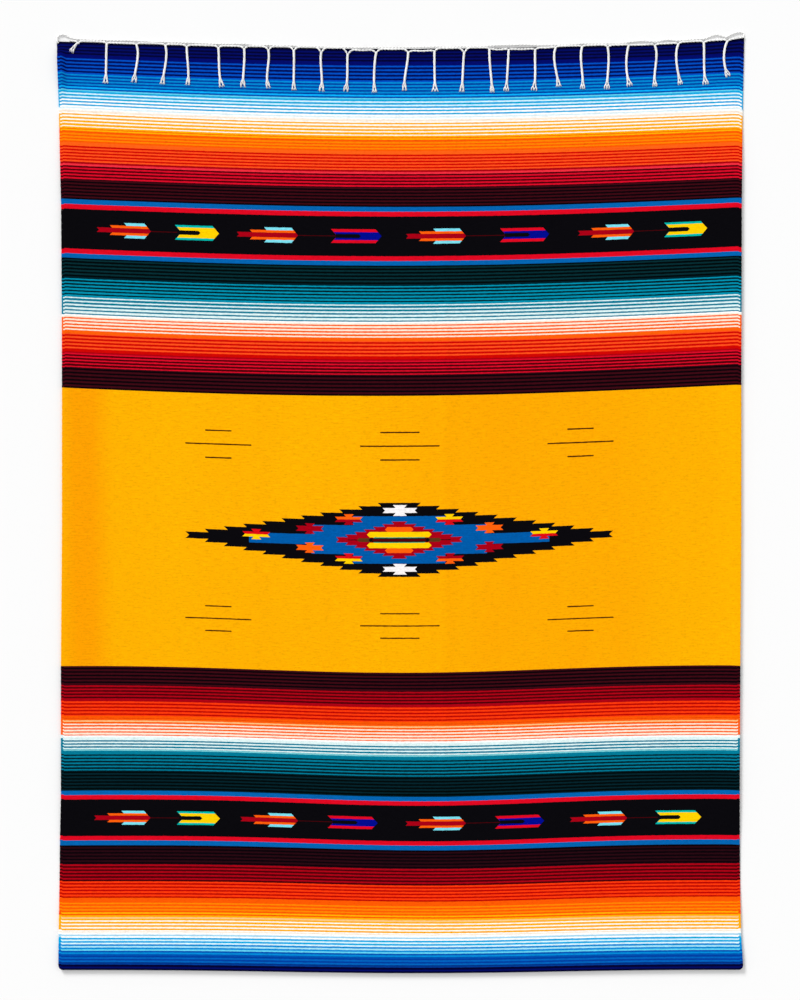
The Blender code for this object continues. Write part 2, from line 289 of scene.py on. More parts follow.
UPPER_OUTER_FADE_MM = (
    (44.9, 6.2, "black", "brown", 0.5, 0.5),
    (28.8, 4, "crimson", "maroon", 0.5, 0.5),
    (4.4, 0, "rose"),
    (4.4, 0, "dark red"),
    (34.7, 5, "flame", "red", 0.5, 0.52),
    (8.0, 0, "tangerine"),
    (22.0, 3.25, "deep orange", "amber", 0.5, 0.6),
    (8.3, 1.25, "deep orange", "gold", 0.5, 0.6),
    (3.8, 0, "gold"),
    (28.8, 4, "ivory", "gold", 0.7, 0.42),
    (2.9, 0, "white"),
    (4.4, 0, "peach"),
    (4.0, 0, "white"),
    (2.6, 0, "pale blue"),
    (21.9, 3, "white", "sky", 0.42, 0.55),
    (14.6, 2, "pale cyan", "sky", 0.55, 0.6),
    (2.6, 0, "cyan"),
    (7.0, 1, "deep azure", "azure", 0.5, 0.5),
    (27.6, 4, "cobalt", "mid azure", 0.55, 0.5),
    (3.6, 0, "blue"),
    (31.2, 4, "midnight", "blue", 0.5, 0.42),
    (8.8, 0, "deep navy"),
    (25.2, 3.5, "ink", "navy", 0.5, 0.5),
    # A near-black strip up to the top edge of the web
    (100.0, 0, "top edge near-black"),
)
LOWER_OUTER_FADE_MM = (
    (42.0, 5.65, "black", "dark brown", 0.45, 0.6),
    (37.3, 5, "deep crimson", "maroon", 0.5, 0.56),
    (36.0, 5, "deep flame", "deep red", 0.52, 0.45),
    (6.9, 0, "deep orange"),
    (21.0, 3, "deep orange", "amber", 0.45, 0.52),
    (10.3, 1.5, "deep orange", "gold", 0.45, 0.55),
    (3.8, 0, "gold"),
    (7.1, 1, "apricot", "gold", 0.5, 0.5),
    (21.4, 3, "ivory", "gold", 0.62, 0.5),
    (2.6, 0, "white"),
    (2.4, 0, "peach"),
    (4.6, 0, "white"),
    (7.3, 1, "light sky", "white", 0.5, 0.5),
    (14.6, 2, "sky", "pale cyan", 0.45, 0.45),
    (7.4, 1, "mid azure", "light cyan", 0.45, 0.45),
    (7.3, 1, "mid azure", "cyan", 0.45, 0.45),
    (11.0, 1.5, "deep azure", "mid azure", 0.5, 0.5),
    (14.6, 2, "cobalt", "royal blue", 0.5, 0.5),
    (5.4, 0.75, "deep cobalt", "cobalt", 0.5, 0.5),
    (100.0, 12.0, "ink", "navy", 0.4, 0.4),
)


def length_of(rows):
    """The woven length of some rows of the plan."""
    return sum(row[0] for row in rows) * MM


BAND_START = FIELD_HALF + length_of(UPPER_INNER_FADE_MM)
BAND_END = BAND_START + length_of(BAND_MM)
BAND_MIDDLE = (BAND_START + BAND_END) / 2

# The diamond, whose rows step in like stairs with slanted ends
DIAMOND_ACROSS = -3.9 * MM
ROW = 7.4 * MM
DIAMOND_ROWS = 11
DIAMOND_HALF = 473 * MM
DIAMOND_STEP = 42.5 * MM
ROW_SLANT = 8.4 * MM

# The half lengths and half heights of the blue steps inside it
BLUE_STEPS_MM = ((332.0, 11.3), (194.0, 32.0), (102.0, 52.0))

# The red heart, stepped in the same way
HEART_ROW = 5.8 * MM
HEART_ROWS = 7
HEART_HALF = 139.5 * MM
HEART_STEP = 20.4 * MM
HEART_SLANT = 5.7 * MM

# The heart's bars: yarn, distance from the diamond's middle, reach to a side and half height
HEART_BARS_MM = (
    ("bright orange", 23.0, 31.5, 5.4),
    ("bright gold", 11.8, 71.5, 6.0),
    ("sea green", 0.0, 62.0, 6.2),
    ("pattern black", 0.0, 114.0, 0.9),
    ("umber", 0.0, 93.0, 4.2),
    ("pattern black", 0.0, 68.0, 4.4),
    ("wine", 0.0, 60.0, 2.8),
)

# Each row is one small cross: across and above the diamond's middle, its upper and its lower yarn.
CROSSES_MM = (
    (-316.2, 7.5, "bright red", "bright gold"),
    (-197.8, 23.5, "diamond red", "diamond red"),
    (-197.8, -18.8, "bright orange", "bright orange"),
    (-111.6, 44.7, "bright orange", "diamond red"),
    (-111.6, -41.6, "bright red", "bright gold"),
    (110.8, 44.2, "bright gold", "bright red"),
    (199.3, 23.9, "bright orange", "bright orange"),
    (199.3, -18.1, "diamond red", "diamond red"),
    (112.4, -41.6, "diamond red", "bright orange"),
    (320.4, 7.1, "bright gold", "bright red"),
)
WHITE_CROSSES_MM = ((1.5, 64.6), (1.5, -64.4))
# A cross's sizes: half its bar's length and height, then half its post's width and height. The bar is
# shorter in its middle by the waist, a share of its half height, and the post spreads by its flare.
CROSS_MM = (29.5, 5.7, 6.0, 11.4)
WHITE_CROSS_MM = (37.0, 5.4, 9.5, 11.8)
BAR_WAIST = 0.8
POST_FLARE = 0.9

# Each row is one group of dashes: its middle across, and for the upper and the lower groups the
# height of its long dash from the diamond's middle. The short ones lie above and below it. The dashes'
# half lengths follow, group by group.
DASH_GROUPS_MM = ((-403.9, 203.0, 193.6), (-2.5, 204.7, 200.4), (397.0, 203.3, 193.6))
LONG_DASH_HALF_MM = (73.0, 88.0, 73.0)
SHORT_DASH_HALF_MM = (29.0, 43.5, 29.0)
DASH_APART = 30 * MM
DASH_THICK = 3.1 * MM

# Each row is one arrow part in the two bands: its kind, and where it starts and ends across the web
# in the upper and in the lower band.
ARROWS_MM = (
    ("feathers", -672.6, -553.1, -678.4, -554.2),
    ("gold head", -500.0, -402.7, -496.0, -400.5),
    ("feathers", -362.9, -227.9, -354.9, -227.9),
    ("blue head", -154.9, -43.1, -162.0, -51.8),
    ("feathers", 11.1, 143.8, 10.2, 143.4),
    ("blue head", 219.0, 327.5, 208.0, 316.4),
    ("feathers", 391.6, 515.5, 373.9, 500.0),
    ("gold head", 581.9, 677.0, 562.0, 663.8),
)
# Each kind's layers: yarn, where its outer corner starts from the tail, and its half width. A slot's
# sizes are where it starts and ends from the tail, and its half width.
ARROW_LAYERS_MM = {
    "feathers": (("turquoise", 60.2, 16.8), ("orange", 28.8, 10.7), ("diamond red", 0.0, 5.3)),
    "gold head": (("green teal", 0.0, 16.4), ("bright gold", 5.0, 11.5)),
    "blue head": (("border red", 0.0, 15.4), ("arrow blue", 6.0, 8.9)),
}
ARROW_SLOT_MM = {"gold head": (10.0, 52.0, 4.8), "blue head": (15.5, 62.0, 4.4)}

# How far the edges of a tail and of a tip slant for each unit of height, and the thin shaft
TAIL_SLANT = 0.9
TIP_SLANT = 0.85
SHAFT_THICK = 1.4 * MM
SHAFT_INTO_HEAD = 14 * MM

# The knotted fringe. Each row is one tassel: where it stands across the web, its length over the
# front, how far it has swung aside at its upper third, at its lower third and at its tip, and how far
# below the edge its two legs meet.
TASSELS_MM = (
    (-713.5, 20.0, -6.0, -11.0, -15.0, 0.0),
    (-650.5, 87.0, -1.0, -1.5, -2.5, 0.0),
    (-584.5, 83.0, 2.5, -2.0, -5.5, 0.0),
    (-520.5, 85.0, 1.5, -3.0, -7.0, 0.0),
    (-473.5, 85.5, 1.5, 3.5, 2.0, 1.3),
    (-403.5, 88.0, 1.0, 2.5, 7.0, 2.0),
    (-346.5, 87.0, 0.0, -2.0, -3.5, 2.9),
    (-293.0, 88.0, 0.0, -3.0, -0.5, 4.4),
    (-237.0, 91.5, 0.5, 0.0, 0.0, 4.4),
    (-176.5, 93.0, -0.5, 1.5, 0.5, 7.7),
    (-118.0, 92.5, -0.5, -1.0, -4.0, 11.3),
    (-55.0, 94.5, -3.5, -4.5, -3.5, 7.2),
    (16.0, 90.5, -3.0, -7.5, -8.5, 6.2),
    (74.0, 93.0, 0.0, 0.5, 1.0, 3.8),
    (139.5, 94.0, -2.0, -3.5, -5.0, 7.7),
    (195.5, 95.5, 1.0, 4.0, 6.0, 0.6),
    (238.0, 94.0, -1.5, -3.5, -5.5, 2.2),
    (296.5, 93.5, 0.0, 0.0, -2.5, 3.3),
    (341.5, 86.0, -2.5, 2.5, 7.0, 0.0),
    (400.0, 92.5, -2.0, 1.0, 1.5, 0.0),
    (457.0, 94.5, 2.0, 0.0, -2.0, 2.0),
    (503.0, 89.5, -4.5, -3.5, 2.5, 0.0),
    (561.5, 92.5, 3.0, -0.5, 0.0, 1.8),
    (612.5, 90.0, -4.0, -0.5, 5.0, 1.1),
    (669.5, 93.0, 0.5, 1.0, 4.0, 1.1),
    (721.0, 79.5, -6.5, -5.5, 2.0, 1.3),
)
SWING_AT = (0.0, 0.35, 0.7, 1.0)

# How far off the web's edge the legs lie half way between two tassels, from left to right. The
# negative ones lie on the cloth.
LEGS_OFF_EDGE_MM = (
    3.0, 3.0, 0.6, 2.7, 2.0, 1.3, 1.5, 2.3, 3.0, 2.4, 0.9, -3.8, -1.1, -5.2, 0.6,
    1.5, -3.8, -4.0, -1.6, 1.5, 1.7, 0.3, -1.3, -0.5, 2.0, 1.5, 0.6,
)
END_LEG = 20 * MM

# The slack cord that follows the edge: across the web and how far off its edge. It starts in a loop
# at the upper left corner and ends in one at the upper right.
EDGE_CORD_MM = (
    (-757.5, -4.0), (-760.5, 3.0), (-759.5, 10.0), (-753.0, 14.5), (-744.0, 15.0), (-735.0, 11.0),
    (-722.0, 7.0), (-700.0, 6.6), (-655.0, 6.2), (-600.0, 7.2), (-555.0, 6.2), (-500.0, 6.4),
    (-434.0, 5.8), (-390.0, 6.0), (-349.0, 7.0), (-323.0, 5.0), (-290.0, 5.8), (-262.0, 5.6),
    (-206.0, 4.6), (-174.0, 3.3), (-119.0, 2.6), (-55.0, 2.7), (16.0, 2.8), (44.0, 3.8),
    (75.0, 4.6), (108.0, 3.4), (139.0, 4.2), (170.0, 3.8), (217.0, 6.4), (268.0, 6.6),
    (319.0, 4.6), (374.0, 4.4), (403.0, 6.0), (440.0, 4.6), (480.0, 3.8), (507.0, 6.0),
    (531.0, 7.8), (562.0, 4.8), (587.0, 8.0), (613.0, 5.2), (640.0, 6.6), (668.0, 6.4),
    (683.0, 10.5), (697.0, 13.6), (709.0, 10.5), (719.0, 6.8), (727.0, 10.0), (738.0, 13.4),
    (750.0, 14.0), (757.0, 11.0), (758.0, 5.0), (754.0, 1.8), (744.0, 2.0),
)

# How far off the edge a leg, and the slack cord, start to come down and lie on the floor, and
# how much room is left under it
LEG_COMES_DOWN = (0.3 * MM, 2.6 * MM)
CORD_COMES_DOWN = (2.5 * MM, 6.0 * MM)
CORD_CLEAR = 0.3 * MM

# Twisted cotton: radii of the strands, how far those of the slack cord lie off its middle, half the
# cord's thickness in radii, the share of its width at a strand's very end, and the plies
STRAND = 1.1 * MM
THIN_STRAND = 0.9 * MM
CORD_LAY = THIN_STRAND * 0.9
CORD_HALF = 1.8
STRAND_SIDES = 9
STRAND_END = 0.55
PLIES = 3
PLY_BULGE = 0.13
PLY_PITCH = 6.5 * MM
RING_SPACING = 1.1 * MM
STEPS_A_STRETCH = 24

# How two strands lie round each other in a leg and in a tassel, where the leg turns down, and over what
# length it becomes the tassel. A leg's own points, as shares of its length, how near the edge it is at
# the turn, the share of the turn where it lies on the cloth, and how far over it, aside and down the
# turn ends. How the tips open and lie flat, the least share by which any of them opens, and how that
# changes from tassel to tassel. The tassel's points, as shares of its length.
LEG_TWIST = 15 * MM
LEG_LAY = 0.95 * MM
BODY_TWIST = 64 * MM
BODY_LAY = 1.4 * MM
LEG_TURNS_AT = 12 * MM
LEG_TO_BODY = 10 * MM
LEG_PARTS = (1.0, 0.75)
LEG_NEARS_EDGE = 0.85
LEG_LIES_DOWN = 0.45
TURN_CLEAR = 0.4 * MM
TURN_ASIDE = 0.6 * MM
TURN_DOWN = 2.5 * MM
TIP_LAY = 5.8 * MM
TIP_OPENS = 19 * MM
TIP_FLAT = 0.6
TIP_DRAW = 0.6
TIP_PHASE = 2.3
BODY_PARTS = (0.16, 0.32, 0.5, 0.68, 0.84, 1.0)

# Loose fibres at a cut end, how wide they fan out, how uneven their lengths are, how far one bends aside
# and droops, and how the lengths change from fibre to fibre and across the web
HAIR = 0.34 * MM
HAIRS = 6
HAIR_LENGTH = 6.5 * MM
HAIR_FAN = 0.9
HAIR_UNEVEN = 0.25
HAIR_BEND = 0.5
HAIR_DROOP = 0.15
HAIR_PHASES = (5.1, 900)

# The cotton's surface: fibres round a strand and to the metre along it, their depth, blotches of soil to
# the metre, how strong the painted shade is that lightens the plies' ridges and darkens their grooves,
# the span of it all, and the two sRGB colours it turns to, the darker one for soil and painted shade
FIBRES = (24.0, 300.0)
FIBRE_DEPTH = 0.25 * MM
SOIL_PER_METRE = 45.0
PAINTED_PLY_SHADE = 0.28
COTTON_SPAN = (0.6, 1.3)
# The darker colour stands for soil and for painted shade in the ply grooves
SOILED_AND_SHADED_COTTON = "D9D8D8"
CLEAN_COTTON = "FDFDFB"

# The view, the light of a low sun and of the sky, and how far the floor goes to each side
LENS = 85.0
SENSOR = 36.0
VIEW_HEIGHT = 2.2125
VIEW_MIDDLE = (-1.2 * MM, 5.9 * MM)
KEY_PLACE = (-4.2, 7.4, 4.1)
KEY_WIDE = math.radians(17)
KEY_STRENGTH = 2.74
SKY_STRENGTH = 0.77
FLOOR_REACH = 6.0

# The front's length and its reach to the left in the solids, which place the upper edge
SOLID_RUN = 2040.6 * MM
SOLID_LEFT = 761 * MM


def smooth(t):
    """A soft step from 0 to 1 as t goes from 0 to 1."""
    t = min(max(t, 0.0), 1.0)
    return t * t * (3 - 2 * t)


@functools.lru_cache(maxsize=None)
def line_value(name, run):
    """A column of the woven lines read at a distance from the top edge."""
    at = LINE_COLUMNS.index(name)
    unit = 1.0 if name in ("bell", "low") else MM
    return float(np.interp(run, [row[0] * MM for row in LINES_MM], [row[at] * unit for row in LINES_MM]))


@functools.lru_cache(maxsize=None)
def run_at(chart):
    """The distance from the top edge at a place in the weaver's chart."""
    downwards = [-row[1] * MM for row in LINES_MM]
    return float(np.interp(-chart, downwards, [row[0] * MM for row in LINES_MM]))


def across_at(u, run):
    """The place across the web of the point u, from 0 at the left side to 1 at the right."""
    return -line_value("left", run) * (1 - u) + line_value("right", run) * u


def height_at(u, run):
    """How far towards +Y a woven line lies at u, before the part is centred."""
    ends = line_value("left_rise", run) * (1 - u) + line_value("right_rise", run) * u
    from_lowest = u ** (math.log(0.5) / math.log(line_value("low", run)))
    sag = math.sin(math.pi * from_lowest) ** line_value("bell", run)
    from_right = (1 - u) * 2 * line_value("right", run)
    pull = CORNER_PULL * math.exp(-from_right / CORNER_PULL_ACROSS - run / CORNER_PULL_ALONG)
    return -run + ends * (1 - sag) + pull


def edge_height(across):
    """The height of the web's upper edge at a place across it."""
    left, right = line_value("left", 0.0), line_value("right", 0.0)
    return height_at(min(max((across + left) / (left + right), 0.0), 1.0), 0.0)


def upper_left_strip(from_left, run):
    """Whether a place is in the narrow strip at the upper left that is drawn up and curled."""
    near, far = LEFT_STEP_ACROSS
    start, high, hold, end = LEFT_STEP_RUNS
    along = smooth((run - start) / (high - start)) * (1 - smooth((run - hold) / (end - hold)))
    return (1 - smooth((from_left - near) / (far - near))) * along


def drawn_ends(u, run):
    """How far the stripes' ends are drawn up at the upper left and down along the right side."""
    up = LEFT_STEP * upper_left_strip(u * 2 * line_value("left", run), run)
    from_right = (1 - u) * 2 * line_value("right", run)
    eased = smooth((run - RIGHT_DROP_RUNS[0]) / (RIGHT_DROP_RUNS[1] - RIGHT_DROP_RUNS[0]))
    drop = RIGHT_DROP[0] + (RIGHT_DROP[1] - RIGHT_DROP[0]) * eased
    fade = smooth(run / DRAWN_END_LAST) * smooth((VISIBLE_RUN - run) / DRAWN_END_LAST)
    return up - drop * fade * math.exp(-from_right / RIGHT_DROP_ACROSS)


def lift_at(across, run):
    """The underside's height over the floor where the web lies in soft folds."""
    fade = smooth((run - FOLDS_START) / FOLDS_FADE) * smooth((FOLDS_END - run) / FOLDS_FADE)
    down = run / VISIBLE_RUN
    lift = 0.0
    for place, height, reach_top, reach_bottom in SOFT_FOLDS_MM:
        reach = (reach_top + (reach_bottom - reach_top) * down) * MM
        lift += height * MM * (1 - smooth(abs(across - place * MM) / reach))
    from_left = across + line_value("left", run)
    return lift * fade + LEFT_CURL * upper_left_strip(from_left, run)


def waves_at(across, run):
    """The slow waves of cloth that was folded and lies flat again."""
    long_wave = noise.noise(Vector((across / WAVE_LENGTHS[0], run / WAVE_LENGTHS[0], 0.0)))
    short_wave = noise.noise(Vector((across / WAVE_LENGTHS[1], run / WAVE_LENGTHS[1], 7.0)))
    even, long_share, short_share = WAVE_SHARES
    return WAVE_HEIGHT * (even + long_share * long_wave + short_share * short_wave)


def rise_over_turned_end(from_fold):
    """The underside's height over the floor near the fold, where it lies on the turned-under end."""
    at_fold = WALL + 2 * FOLD_INNER_RADIUS
    at_end = WALL + CLEAR_OF_TURNED_END
    if from_fold < TURNED_END_COVERED:
        return at_fold + (at_end - at_fold) * smooth(from_fold / TURNED_END_COVERED)
    return at_end * (1 - smooth((from_fold - TURNED_END_COVERED) / SLOPE_TO_FLOOR))


def corner_inset(to_outermost):
    """How far a side is drawn in where the fold's corner is round."""
    return FOLD_CORNER_INSET * max(0.0, 1 - to_outermost / FOLD_CORNER_LENGTH) ** 2


def web_point(u, run):
    """A point of the web's inner side: the underside of the front, the inside of the fold, and the
    upper side of the turned-under end."""
    if run <= VISIBLE_RUN:
        across = across_at(u, run)
        up = rise_over_turned_end(VISIBLE_RUN - run) + lift_at(across, run)
        up += waves_at(across, run) * smooth((VISIBLE_RUN - run) / FOLDS_START)
        inset = corner_inset(VISIBLE_RUN - run + FOLD_INNER_RADIUS + WALL)
        along = height_at(u, run) + drawn_ends(u, run)
    elif run <= VISIBLE_RUN + FOLD_ARC:
        turn = (run - VISIBLE_RUN) / FOLD_INNER_RADIUS
        across = across_at(u, VISIBLE_RUN)
        inset = corner_inset((FOLD_INNER_RADIUS + WALL) * (1 - math.sin(turn)))
        inset += TURNED_SIDE_INSET * turn / math.pi
        along = height_at(u, VISIBLE_RUN) - FOLD_INNER_RADIUS * math.sin(turn)
        up = WALL + FOLD_INNER_RADIUS * (1 + math.cos(turn))
    else:
        back = run - VISIBLE_RUN - FOLD_ARC
        across = across_at(u, VISIBLE_RUN - back)
        inset = TURNED_SIDE_INSET
        along = height_at(u, VISIBLE_RUN) + back
        up = WALL
    side = 2 * u - 1
    return Vector((across - side * inset, along, up))


def linear(hex_colour):
    """A colour given as sRGB hex digits, as the linear values that shaders take."""
    parts = [int(hex_colour[k:k + 2], 16) / 255 for k in (0, 2, 4)]
    return [p / 12.92 if p <= 0.04045 else ((p + 0.055) / 1.055) ** 2.4 for p in parts] + [1.0]


def yarn(name):
    """The linear colour of a dyed yarn."""
    return linear(YARN[name])


def node(tree, kind, *inputs, named=None, **settings):
    """Adds a shader node with its settings, sets or links its live inputs in order and others by
    name, and gives its first live output."""
    made = tree.nodes.new("ShaderNode" + kind)
    for name, value in settings.items():
        setattr(made, name, value)
    wanted = list(zip([socket for socket in made.inputs if socket.enabled], inputs))
    wanted += [(made.inputs[name], value) for name, value in (named or {}).items()]
    for socket, value in wanted:
        if isinstance(value, bpy.types.NodeSocket):
            tree.links.new(value, socket)
        else:
            socket.default_value = value
    return next(socket for socket in made.outputs if socket.enabled)


def both(add, *shapes):
    """The part that lies inside all of some shapes."""
    return functools.reduce(lambda a, b: add("Math", a, b, operation="MULTIPLY"), shapes)


def apart(add, value, middle):
    """How far a value is from a middle, to either side."""
    return add("Math", add("Math", value, middle, operation="SUBTRACT"), operation="ABSOLUTE")


def lay_stripes(add, ground, out, start, rows, at_side=None):
    """Weaves rows of the plan outwards from a start, each over what lies under it. At the sides, the
    darker yarn of a pair wraps round a pale one."""
    for length, pairs, first, *pair in rows:
        colour = yarn(first)
        if pairs:
            second, share, last_share = pair
            scale = pairs / (length * MM)
            passed = add("Math", out, scale, -start * scale, operation="MULTIPLY_ADD")
            part = add("Math", passed, operation="FRACT")
            limit = add("Math", passed, (share - last_share) / pairs, 1 - share, operation="MULTIPLY_ADD")
            light = [sum(yarn(name)[:3]) for name in (first, second)]
            if max(light) > PALE_YARN:
                to_darker = 1.0 if light[0] < light[1] else -1.0
                limit = add("Math", at_side, to_darker, limit, operation="MULTIPLY_ADD")
            later = add("Math", part, limit, operation="GREATER_THAN")
            colour = add("Mix", later, colour, yarn(second), data_type="RGBA")
        begun = add("Math", out, start, operation="GREATER_THAN")
        ground = add("Mix", begun, ground, colour, data_type="RGBA")
        start += length * MM
    return ground


def stepped_diamond(add, across, out, row, rows, half, step, slant):
    """A diamond of rows that grow shorter outwards, their ends slanted out from the middle."""
    passed = add("Math", out, 1 / row, operation="MULTIPLY")
    number = add("Math", passed, operation="FLOOR")
    part = add("Math", passed, operation="FRACT")
    reach = add("Math", number, -step, half - slant, operation="MULTIPLY_ADD")
    reach = add("Math", part, slant, reach, operation="MULTIPLY_ADD")
    inside = add("Math", across, reach, operation="LESS_THAN")
    return both(add, inside, add("Math", out, row * rows, operation="LESS_THAN"))


def flared_cross(add, across, up, place, size):
    """A flat cross whose four ends spread outwards, as a weaver steps them."""
    half_long, half_bar, half_post, half_tall = (value * MM for value in size)
    x = apart(add, across, place[0] * MM)
    rise = add("Math", up, place[1] * MM, operation="SUBTRACT")
    y = add("Math", rise, operation="ABSOLUTE")
    bar_end = add("Math", y, 1.0, half_long - half_bar * BAR_WAIST, operation="MULTIPLY_ADD")
    on_bar = add("Math", y, 0.0, half_bar, operation="COMPARE")
    bar = both(add, add("Math", x, bar_end, operation="LESS_THAN"), on_bar)
    waist = half_post - half_bar * POST_FLARE
    post_side = add("Math", y, POST_FLARE, waist, operation="MULTIPLY_ADD")
    on_post = add("Math", y, 0.0, half_tall, operation="COMPARE")
    post = both(add, add("Math", x, post_side, operation="LESS_THAN"), on_post)
    return add("Math", bar, post, operation="MAXIMUM"), rise


def lay_diamond(add, ground, across, up):
    """Weaves the black diamond, its blue inside, its crosses and its red heart."""
    x = add("Math", across, DIAMOND_ACROSS, operation="SUBTRACT")
    side = add("Math", x, operation="ABSOLUTE")
    out = add("Math", up, operation="ABSOLUTE")
    size = (ROW, DIAMOND_ROWS, DIAMOND_HALF, DIAMOND_STEP, ROW_SLANT)
    diamond = stepped_diamond(add, side, out, *size)
    ground = add("Mix", diamond, ground, yarn("pattern black"), data_type="RGBA")
    for reach, rise in BLUE_STEPS_MM:
        wide = add("Math", side, 0.0, reach * MM, operation="COMPARE")
        tall = add("Math", out, 0.0, rise * MM, operation="COMPARE")
        ground = add("Mix", both(add, wide, tall), ground, yarn("diamond blue"), data_type="RGBA")
    for *place, upper, lower in CROSSES_MM:
        shape, rise = flared_cross(add, x, up, place, CROSS_MM)
        in_upper = add("Math", rise, 0.0, operation="GREATER_THAN")
        colour = add("Mix", in_upper, yarn(lower), yarn(upper), data_type="RGBA")
        ground = add("Mix", shape, ground, colour, data_type="RGBA")
    for place in WHITE_CROSSES_MM:
        shape, _ = flared_cross(add, x, up, place, WHITE_CROSS_MM)
        ground = add("Mix", shape, ground, yarn("bone"), data_type="RGBA")
    size = (HEART_ROW, HEART_ROWS, HEART_HALF, HEART_STEP, HEART_SLANT)
    heart = stepped_diamond(add, side, out, *size)
    ground = add("Mix", heart, ground, yarn("diamond red"), data_type="RGBA")
    for name, middle, reach, rise in HEART_BARS_MM:
        off = apart(add, out, middle * MM)
        pointed = add("Math", off, -1.0, reach * MM, operation="MULTIPLY_ADD")
        ends = add("Math", side, pointed, operation="LESS_THAN")
        tall = add("Math", off, 0.0, rise * MM, operation="COMPARE")
        ground = add("Mix", both(add, ends, tall), ground, yarn(name), data_type="RGBA")
    return ground


def lay_dashes(add, ground, across, up):
    """Weaves the groups of one long and two short dashes above and below the diamond."""
    above = add("Math", up, 0.0, operation="GREATER_THAN")
    out = add("Math", up, operation="ABSOLUTE")
    for (place, upper, lower), long, short in zip(DASH_GROUPS_MM, LONG_DASH_HALF_MM, SHORT_DASH_HALF_MM):
        height = add("Mix", above, lower * MM, upper * MM)
        from_long = apart(add, out, height)
        for dash, off in ((long, 0.0), (short, DASH_APART)):
            wide = add("Math", across, place * MM, dash * MM, operation="COMPARE")
            tall = add("Math", from_long, off, DASH_THICK / 2, operation="COMPARE")
            ground = add("Mix", both(add, wide, tall), ground, yarn("dash brown"), data_type="RGBA")
    return ground


def lay_arrows(add, ground, across, up, out):
    """Weaves the arrow parts along the middle of a band, with the thin shaft between each pair."""
    above = add("Math", up, 0.0, operation="GREATER_THAN")
    beside = apart(add, out, BAND_MIDDLE)
    on_shaft = add("Math", beside, 0.0, SHAFT_THICK / 2, operation="COMPARE")
    last_tip = None
    for kind, upper_tail, upper_tip, lower_tail, lower_tip in ARROWS_MM:
        tail = add("Mix", above, lower_tail * MM, upper_tail * MM)
        tip = add("Mix", above, lower_tip * MM, upper_tip * MM)
        along = add("Math", across, tail, operation="SUBTRACT")
        to_tip = add("Math", tip, across, operation="SUBTRACT")
        tip_room = add("Math", beside, TIP_SLANT, operation="MULTIPLY")
        before_tip = add("Math", to_tip, tip_room, operation="GREATER_THAN")
        if last_tip is not None and kind != "feathers":
            past_tip = add("Math", across, last_tip, operation="GREATER_THAN")
            before_slot = add("Math", along, SHAFT_INTO_HEAD, operation="LESS_THAN")
            shaft = both(add, on_shaft, past_tip, before_slot)
            ground = add("Mix", shaft, ground, yarn("maroon"), data_type="RGBA")
        for name, corner, half in ARROW_LAYERS_MM[kind]:
            start = (corner + half * TAIL_SLANT) * MM
            tail_end = add("Math", beside, -TAIL_SLANT, start, operation="MULTIPLY_ADD")
            past_tail = add("Math", along, tail_end, operation="GREATER_THAN")
            tall = add("Math", beside, 0.0, half * MM, operation="COMPARE")
            shape = both(add, past_tail, before_tip, tall)
            ground = add("Mix", shape, ground, yarn(name), data_type="RGBA")
        if kind in ARROW_SLOT_MM:
            start, end, half = (value * MM for value in ARROW_SLOT_MM[kind])
            slot_end = add("Math", beside, -1.0, end + half, operation="MULTIPLY_ADD")
            pointed = add("Math", along, slot_end, operation="LESS_THAN")
            begun = add("Math", along, start - half, operation="GREATER_THAN")
            shape = both(add, begun, pointed, add("Math", beside, 0.0, half, operation="COMPARE"))
            ground = add("Mix", shape, ground, yarn("pattern black"), data_type="RGBA")
        last_tip = tip
    return ground


def unevenness(add, place, scale, detail=3.0, roughness=0.5):
    """Soft noise with a scale of its own across and along."""
    stretched = add("Mapping", place, named={"Scale": (*scale, 1.0)})
    settings = {"Vector": stretched, "Scale": 1.0, "Detail": detail, "Roughness": roughness}
    return add("TexNoise", named=settings)


def chart_places(add):
    """Where a point lies across the web and in the weaver's chart, a little unsteady as yarn is."""
    chart = add("UVMap", uv_map="chart")
    place = add("SeparateXYZ", chart)
    across, up = place.node.outputs["X"], place.node.outputs["Y"]
    wobble = unevenness(add, chart, WOBBLES_PER_METRE, detail=2.0)
    shift = add("Math", wobble, WOBBLE, -WOBBLE / 2, operation="MULTIPLY_ADD")
    up = add("Math", up, shift, operation="ADD")
    return chart, across, up, add("Math", up, operation="ABSOLUTE")


def weft_beads(add, in_mm):
    """Rounded beads where each pick passes over a warp, those of one pick between those of the next."""
    place = add("SeparateXYZ", in_mm)
    across, along = place.node.outputs["X"], place.node.outputs["Y"]
    crowding = add("TexNoise", named={"Vector": in_mm, "Scale": CROWDS_PER_MM, "Detail": 2.0})
    pushed = add("Math", crowding, BEAD_PUSH, along, operation="MULTIPLY_ADD")
    picks = add("Math", pushed, 1 / BEAD_MM[1], operation="MULTIPLY")
    shift = add("Math", add("Math", picks, operation="FLOOR"), 0.5, operation="MULTIPLY")
    warps = add("Math", across, 1 / BEAD_MM[0], shift, operation="MULTIPLY_ADD")
    domes = []
    for count in (picks, warps):
        wave = add("Math", add("Math", count, math.pi, operation="MULTIPLY"), operation="SINE")
        domes.append(add("Math", wave, operation="ABSOLUTE"))
    return both(add, *domes)


def finish_yarn(tree, colour, normal, sheen):
    """Sets the colour, relief, roughness and faint sheen of spun yarn."""
    shader = tree.nodes["Principled BSDF"]
    tree.links.new(colour, shader.inputs["Base Color"])
    tree.links.new(normal, shader.inputs["Normal"])
    shader.inputs["Roughness"].default_value = YARN_ROUGHNESS
    shader.inputs["Specular IOR Level"].default_value = sheen


